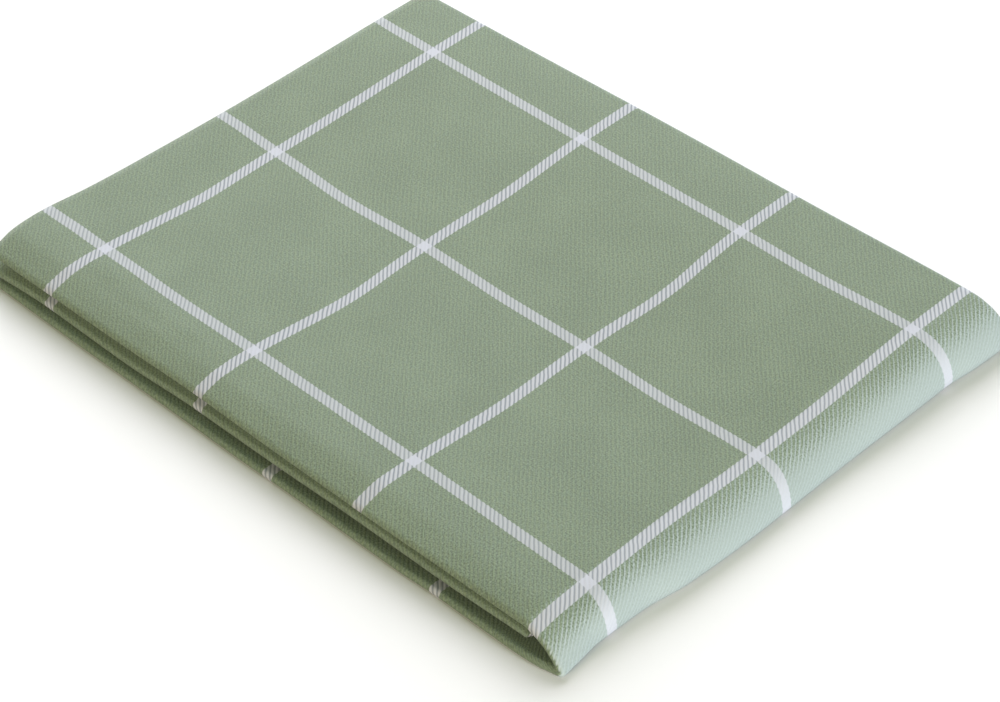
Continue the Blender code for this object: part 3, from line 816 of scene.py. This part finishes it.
@dataclass
class Wiring:
    """Adds shader nodes to a tree and joins them."""

    tree: bpy.types.NodeTree

    def node(self, kind: str, **inputs: object) -> bpy.types.Node:
        """Adds a node and sets or joins the inputs that are named.

        Args:
            kind: the node's type.
            inputs: a value or a socket for each input, its name with _ for a space.

        Returns:
            The node.
        """
        made = self.tree.nodes.new(kind)
        for name, value in inputs.items():
            self.feed(made.inputs[name.replace("_", " ")], value)
        return made

    def feed(self, socket: bpy.types.NodeSocket, value: object) -> None:
        """Joins a socket to the input, or sets its value."""
        if isinstance(value, bpy.types.NodeSocket):
            self.tree.links.new(value, socket)
        else:
            socket.default_value = value

    def math(self, operation: str, *values: object, clamp: bool = False) -> bpy.types.NodeSocket:
        """Adds a Math node and gives its result."""
        made = self.tree.nodes.new("ShaderNodeMath")
        made.operation = operation
        made.use_clamp = clamp
        for socket, value in zip(made.inputs, values):
            self.feed(socket, value)
        return made.outputs[0]

    def blend(self, share: object, first: object, second: object) -> bpy.types.NodeSocket:
        """Adds a Mix node for colours and gives its result."""
        made = self.tree.nodes.new("ShaderNodeMix")
        made.data_type = "RGBA"
        self.feed(made.inputs[0], share)
        self.feed(made.inputs[6], first)
        self.feed(made.inputs[7], second)
        return made.outputs[2]

    def tinted(self, colour: object, tint: object) -> bpy.types.NodeSocket:
        """Multiplies a colour by a tint."""
        made = self.blend(1.0, colour, tint).node
        made.blend_type = "MULTIPLY"
        return made.outputs[2]

    def noise(self, vector: object, scale: float, detail: float) -> bpy.types.NodeSocket:
        """Adds a Noise Texture and gives its value, even about 0."""
        made = self.node("ShaderNodeTexNoise", Vector=vector, Scale=scale, Detail=detail)
        return self.math("SUBTRACT", made.outputs["Fac"], 0.5)

    def group(self, tree: bpy.types.NodeTree, **inputs: object) -> bpy.types.NodeOutputs:
        """Adds a group node, sets or joins its inputs and gives its outputs."""
        made = self.tree.nodes.new("ShaderNodeGroup")
        made.node_tree = tree
        for name, value in inputs.items():
            self.feed(made.inputs[name], value)
        return made.outputs

    def by_ray(self, other: bpy.types.Node, seen: bpy.types.Node, end: bpy.types.Node) -> None:
        """Ends the tree in one shader for the camera and another one for all other light.

        Args:
            other: the shader that all other light meets.
            seen: the shader that the camera sees.
            end: the tree's output node.
        """
        path = self.tree.nodes.new("ShaderNodeLightPath")
        both = self.tree.nodes.new("ShaderNodeMixShader")
        sources = (path.outputs["Is Camera Ray"], other.outputs[0], seen.outputs[0])
        for socket, source in zip(both.inputs, sources):
            self.feed(socket, source)
        self.feed(end.inputs["Surface"], both.outputs[0])

    def soft_step(self, value: object, start: object, end: object) -> bpy.types.NodeSocket:
        """Gives 0 before start, 1 after end, and a soft slope between them."""
        made = self.tree.nodes.new("ShaderNodeMapRange")
        made.interpolation_type = "SMOOTHSTEP"
        self.feed(made.inputs["Value"], value)
        self.feed(made.inputs["From Min"], start)
        self.feed(made.inputs["From Max"], end)
        return made.outputs["Result"]


def new_group(name: str, inputs: tuple[str, ...], outputs: tuple[str, ...]) -> bpy.types.NodeTree:
    """Makes an empty shader node group with number sockets.

    Args:
        name: the group's name.
        inputs: the names of its inputs.
        outputs: the names of its outputs.

    Returns:
        The group's tree, with its input and output nodes in place.
    """
    tree = bpy.data.node_groups.new(name, "ShaderNodeTree")
    for socket in inputs:
        tree.interface.new_socket(socket, in_out="INPUT", socket_type="NodeSocketFloat")
    for socket in outputs:
        tree.interface.new_socket(socket, in_out="OUTPUT", socket_type="NodeSocketFloat")
    tree.nodes.new("NodeGroupInput")
    tree.nodes.new("NodeGroupOutput")
    return tree


@dataclass(frozen=True)
class CottonTwill:
    map_name = "flat cloth"
    opened_sheen_mark = "stretched weave and painted sheen"
    shown_mark = "check shown"

    plan: FoldPlan = FoldPlan()

    green: Colour = (0.122, 0.160, 0.099)  # between the ribs
    green_light: Colour = (0.232, 0.295, 0.187)  # on them
    shade: float = 0.15  # how light the green is between the ribs, from 0 to 1
    rib_shade: float = 0.64  # how much lighter it is on them
    fine_noise: Range = (2100.0, 1.0)  # scale and detail of the spun yarns' unevenness
    fine_shade: float = 2.6
    patch_noise: Range = (55.0, 3.0)  # of slow changes in the dye
    patch_shade: float = 0.5
    tint_noise: Range = (760.0, 2.0)  # of warmer and cooler yarns
    tint_soft: float = 0.20
    warm: Colour = (1.02, 1.0, 0.97)
    cool: Colour = (0.98, 1.0, 1.03)

    rib_across: float = 0.001544  # distance between ribs across the cloth
    rib_along: float = 0.001691  # and along it
    rib_depth: float = 0.00005
    yarns: float = 4.0  # yarns to a rib
    yarn_height: float = 0.12  # how high they stand, as a share of a rib
    fine_height: float = 0.9
    waver: float = 0.45  # how far the ribs waver, as a share of their distance
    waver_noise: Range = (240.0, 2.0)

    white: Colour = (0.500, 0.516, 0.520)
    white_crossing: Colour = (0.520, 0.536, 0.568)
    between: Colour = (0.240, 0.264, 0.280)  # of the dark yarns that cross a white stripe
    gaps: float = 0.95  # how far they show
    gaps_less: float = 0.25  # how much less they do in the stripes along X
    valley_run: Range = (0.10, 0.62)  # part of a rib's height over which its valley ends
    along_share: float = 0.86  # how white the stripes are that run along X
    stripe_half: float = 0.00170
    edge_step: float = 0.00022  # how far a stripe's edge steps from rib to rib
    edge_soft: float = 0.00012

    # Painted highlight and sheen on the last fold's face, with the paler yarns of its stretched
    # weave:
    opened_sheen: Colour = (0.476, 0.552, 0.522)  # the paler yarns in the stretched weave, with the painted sheen on them
    white_opened_sheen: Colour = (0.650, 0.668, 0.700)
    opened_sheen_share: float = 0.79  # how far they and the painted sheen show where it is stretched most
    sheen_contrast: float = 0.16  # how much more they do between the ribs
    halfway_contrast: float = 1.6  # and where it is stretched halfway
    valley_middle: float = 0.40
    opened_sheen_fine: float = 1.8

    rough: float = 0.82
    uneven_rough: float = 0.10
    specular: float = 0.30
    sheen: float = 0.18
    sheen_rough: float = 0.45
    sheen_tint: Colour = (0.92, 0.97, 1.0)

    def twill_group(self) -> bpy.types.NodeTree:
        """Makes the group that tells where the slanting ribs and their yarns are."""
        tree = new_group("twill ribs", ("Across", "Along"), ("Rib", "Yarn"))
        wire = Wiring(tree)
        source, sink = tree.nodes["Group Input"], tree.nodes["Group Output"]
        across, along = source.outputs["Across"], source.outputs["Along"]
        place = wire.node("ShaderNodeCombineXYZ", X=across, Y=along).outputs[0]
        waver = wire.noise(place, *self.waver_noise)
        slant = wire.math(
            "ADD",
            wire.math("DIVIDE", across, self.rib_across),
            wire.math("DIVIDE", along, self.rib_along),
        )
        phase = wire.math("MULTIPLY_ADD", waver, self.waver, slant)
        turn = wire.math("MULTIPLY", phase, 2.0 * math.pi)
        rib = wire.math("MULTIPLY_ADD", wire.math("COSINE", turn), 0.5, 0.5)
        yarn_turn = wire.math("MULTIPLY", across, self.yarns * 2.0 * math.pi / self.rib_across)
        yarn = wire.math("MULTIPLY_ADD", wire.math("COSINE", yarn_turn), 0.5, 0.5)
        wire.feed(sink.inputs["Rib"], rib)
        wire.feed(sink.inputs["Yarn"], yarn)
        return tree

    def check_group(self) -> bpy.types.NodeTree:
        """Makes the group that tells where the white yarns of the check run."""
        inputs = ("Place", "Start", "Pitch", "Half")
        tree = new_group("check stripe", inputs, ("Stripe",))
        wire = Wiring(tree)
        source, sink = tree.nodes["Group Input"], tree.nodes["Group Output"]
        place, start, pitch, half = (source.outputs[name] for name in inputs)
        cells = wire.math("DIVIDE", wire.math("SUBTRACT", place, start), pitch)
        share = wire.math("FRACT", wire.math("ADD", cells, 0.5))
        off = wire.math("MULTIPLY", wire.math("ABSOLUTE", wire.math("SUBTRACT", share, 0.5)), pitch)
        inner = wire.math("SUBTRACT", half, self.edge_soft)
        outer = wire.math("ADD", half, self.edge_soft)
        mask = wire.math("SUBTRACT", 1.0, wire.soft_step(off, inner, outer))
        wire.feed(sink.inputs["Stripe"], mask)
        return tree

    def make(self) -> bpy.types.Material:
        """Makes the finish.

        Returns:
            The material, which reads the cloth's own map.
        """
        material = bpy.data.materials.new("sage_twill")
        material.use_nodes = True
        tree = material.node_tree
        wire = Wiring(tree)
        shader = tree.nodes["Principled BSDF"]
        source = tree.nodes.new("ShaderNodeUVMap")
        source.uv_map = self.map_name
        place = source.outputs["UV"]
        parts = wire.node("ShaderNodeSeparateXYZ", Vector=place).outputs
        ribs = wire.group(self.twill_group(), Across=parts["X"], Along=parts["Y"])
        rib, yarn = ribs["Rib"], ribs["Yarn"]

        narrow = self.stripe_half - self.edge_step / 2.0
        step = wire.math("MULTIPLY_ADD", rib, self.edge_step, narrow)
        check, stripes = self.check_group(), []
        for name, start, pitch in (
            ("X", self.plan.last_stripe, self.plan.cross_pitch),
            ("Y", self.plan.front_stripe, self.plan.length_pitch),
        ):
            found = wire.group(check, Place=parts[name], Start=start, Pitch=pitch, Half=step)
            stripes.append(found["Stripe"])
        across_x, along_x = stripes

        marks = []
        for mark in (self.opened_sheen_mark, self.shown_mark):
            reader = tree.nodes.new("ShaderNodeAttribute")
            reader.attribute_name = mark
            marks.append(reader.outputs["Fac"])
        opened_sheen, shown = marks

        # Where only one set of yarns is white, the other shows between the ribs.
        valley = wire.math("SUBTRACT", 1.0, wire.soft_step(rib, *self.valley_run))
        crossing = wire.math("MULTIPLY", across_x, along_x)
        either = wire.math("MAXIMUM", across_x, along_x)
        single = wire.math("SUBTRACT", either, crossing)
        strength = wire.math("MULTIPLY_ADD", along_x, -self.gaps_less, self.gaps)
        gaps = wire.math("MULTIPLY", wire.math("MULTIPLY", valley, single), strength)
        patches, fine = wire.noise(place, *self.patch_noise), wire.noise(place, *self.fine_noise)
        tint = wire.soft_step(wire.noise(place, *self.tint_noise), -self.tint_soft, self.tint_soft)
        shade = wire.math("MULTIPLY_ADD", rib, self.rib_shade, self.shade)
        shade = wire.math("MULTIPLY_ADD", fine, self.fine_shade, shade)
        shade = wire.math("MULTIPLY_ADD", patches, self.patch_shade, shade, clamp=True)
        ground = wire.blend(shade, (*self.green, 1.0), (*self.green_light, 1.0))
        ground = wire.tinted(ground, wire.blend(tint, (*self.warm, 1.0), (*self.cool, 1.0)))

        # The last fold stretches the weave, so the paler yarns under it show; its face is also made
        # paler and bluer as a painted highlight and sheen.
        closed_no_sheen = wire.math("SUBTRACT", 1.0, opened_sheen)
        halfway = wire.math("MULTIPLY", opened_sheen, closed_no_sheen)
        sheen_contrast = wire.math("MULTIPLY_ADD", halfway, self.halfway_contrast, self.sheen_contrast)
        ribbed = wire.math("SUBTRACT", valley, self.valley_middle)
        ribbed = wire.math("MULTIPLY_ADD", fine, self.opened_sheen_fine, ribbed)
        stretched_sheen = wire.math("MULTIPLY", ribbed, sheen_contrast)
        stretched_sheen = wire.math("MULTIPLY_ADD", opened_sheen, self.opened_sheen_share, stretched_sheen, clamp=True)
        ground = wire.blend(stretched_sheen, ground, (*self.opened_sheen, 1.0))
        light = wire.blend(crossing, (*self.white, 1.0), (*self.white_crossing, 1.0))
        light = wire.blend(opened_sheen, light, (*self.white_opened_sheen, 1.0))
        light = wire.blend(wire.math("MULTIPLY", gaps, closed_no_sheen), light, (*self.between, 1.0))
        cover = wire.math("MULTIPLY_ADD", along_x, self.along_share - 1.0, 1.0)
        cover = wire.math("MAXIMUM", cover, crossing)
        cover = wire.math("MULTIPLY", wire.math("MULTIPLY", cover, either), shown)
        wire.feed(shader.inputs["Base Color"], wire.blend(cover, ground, light))

        grain = wire.math("MULTIPLY_ADD", yarn, self.yarn_height, rib)
        height = wire.math("MULTIPLY_ADD", fine, self.fine_height, grain)
        bump = wire.node("ShaderNodeBump", Height=height, Strength=1.0)
        wire.feed(bump.inputs["Distance"], self.rib_depth)
        wire.feed(shader.inputs["Normal"], bump.outputs["Normal"])
        rough = wire.math("MULTIPLY_ADD", fine, self.uneven_rough, self.rough)
        wire.feed(shader.inputs["Roughness"], rough)
        shader.inputs["Specular IOR Level"].default_value = self.specular
        shader.inputs["Sheen Weight"].default_value = self.sheen
        shader.inputs["Sheen Roughness"].default_value = self.sheen_rough
        shader.inputs["Sheen Tint"].default_value = (*self.sheen_tint, 1.0)
        return material


@dataclass(frozen=True)
class StudioFloor:
    """The pale floor under the towel."""

    half: float = 1.2  # half its side
    pale: Colour = (0.93, 0.93, 0.90)  # as the camera sees it
    bounce: Colour = (0.30, 0.30, 0.30)  # as it throws light back on the towel

    def build(self) -> bpy.types.Object:
        """Makes the floor, which throws back less light than it shows."""
        bpy.ops.object.select_all(action="DESELECT")
        bpy.ops.mesh.primitive_plane_add(size=2.0 * self.half, location=(0.0, 0.0, 0.0))
        floor = bpy.context.object
        floor.name = "studio_floor"
        material = bpy.data.materials.new("pale_floor")
        material.use_nodes = True
        tree = material.node_tree
        tree.nodes.remove(tree.nodes["Principled BSDF"])
        wire = Wiring(tree)
        seen = wire.node("ShaderNodeBsdfDiffuse", Color=(*self.pale, 1.0))
        thrown = wire.node("ShaderNodeBsdfDiffuse", Color=(*self.bounce, 1.0))
        wire.by_ray(thrown, seen, tree.nodes["Material Output"])
        floor.data.materials.append(material)
        return floor


@dataclass(frozen=True)
class SoftLight:
    """One soft studio light, aimed at the towel."""

    name: str
    place: tuple[float, float, float]
    size: float
    power: float
    colour: Colour

    def build(self) -> None:
        """Makes the light."""
        light = bpy.data.lights.new(self.name, "AREA")
        light.shape = "DISK"
        light.size = self.size
        light.energy = self.power
        light.color = self.colour
        lamp = bpy.data.objects.new(self.name, light)
        bpy.context.scene.collection.objects.link(lamp)
        lamp.location = self.place
        lamp.rotation_euler = Vector(self.place).to_track_quat("Z", "Y").to_euler()


@dataclass(frozen=True)
class Studio:
    """Floor, lights and the plain light all round."""

    floor: StudioFloor = StudioFloor()
    fill: float = 0.14  # strength of the plain light
    air: Colour = (0.75, 1.0, 0.47)
    lights: tuple[SoftLight, ...] = (
        SoftLight("back corner", (-0.85, 0.85, 0.85), 1.5, 30.6, (0.92, 0.893, 1.0)),
        SoftLight("left window", (-1.20, 0.30, 0.90), 1.2, 6.2, (0.79, 0.826, 1.0)),
        SoftLight("back window", (-1.20, 1.20, 0.60), 1.2, 11.6, (0.98, 0.98, 1.0)),
        SoftLight("right", (1.70, 0.10, 0.30), 0.5, 30.0, (0.90, 0.909, 1.0)),
        SoftLight("front", (0.20, -1.60, 0.40), 0.5, 17.0, (1.0, 0.87, 0.74)),
    )

    def build(self) -> None:
        """Makes the studio round the towel."""
        self.floor.build()
        for light in self.lights:
            light.build()
        world = bpy.data.worlds.new("studio_air")
        world.use_nodes = True
        tree = world.node_tree
        wire = Wiring(tree)
        lit = tree.nodes["Background"]
        lit.inputs["Color"].default_value = (*self.air, 1.0)
        lit.inputs["Strength"].default_value = self.fill
        seen = wire.node("ShaderNodeBackground", Color=(*self.floor.pale, 1.0), Strength=1.0)
        wire.by_ray(lit, seen, tree.nodes["World Output"])
        bpy.context.scene.world = world


@dataclass(frozen=True)
class Viewpoint:
    """The camera, at the angle of the photograph."""

    azimuth: float = 44.03  # degrees from -Y towards +X
    elevation: float = 41.99
    distance: float = 0.8051
    target: tuple[float, float, float] = (0.1328, 0.0663, 0.0122)  # in the lay-out
    lens: float = 108.0
    sensor: float = 36.0

    def build(self) -> None:
        """Makes the camera and hands it to the scene."""
        turn, tip = math.radians(self.azimuth), math.radians(self.elevation)
        back = Vector(
            (math.sin(turn) * math.cos(tip), -math.cos(turn) * math.cos(tip), math.sin(tip))
        )
        data = bpy.data.cameras.new("camera")
        data.lens = self.lens
        data.sensor_width = self.sensor
        data.clip_start = 0.01
        camera = bpy.data.objects.new("camera", data)
        bpy.context.scene.collection.objects.link(camera)
        camera.location = Vector(self.target) + Vector(TO_FRAME) + back * self.distance
        camera.rotation_euler = (-back).to_track_quat("-Z", "Y").to_euler()
        bpy.context.scene.camera = camera


def main() -> None:
    """Builds the towel and its studio, and reports each piece."""
    logging.basicConfig(level=logging.INFO, format="%(name)s: %(message)s")
    bpy.ops.object.select_all(action="DESELECT")
    bpy.context.scene.view_settings.view_transform = "Standard"
    Viewpoint().build()
    studio = Studio()
    studio.build()
    LOG.info("studio: %d lights", len(studio.lights))
    towel = TowelCloth()
    cloth = towel.build()
    towel.dress(cloth, CottonTwill().make())
    LOG.info("%s: %d faces before its thickness", cloth.name, len(cloth.data.polygons))


if __name__ == "__main__":
    main()
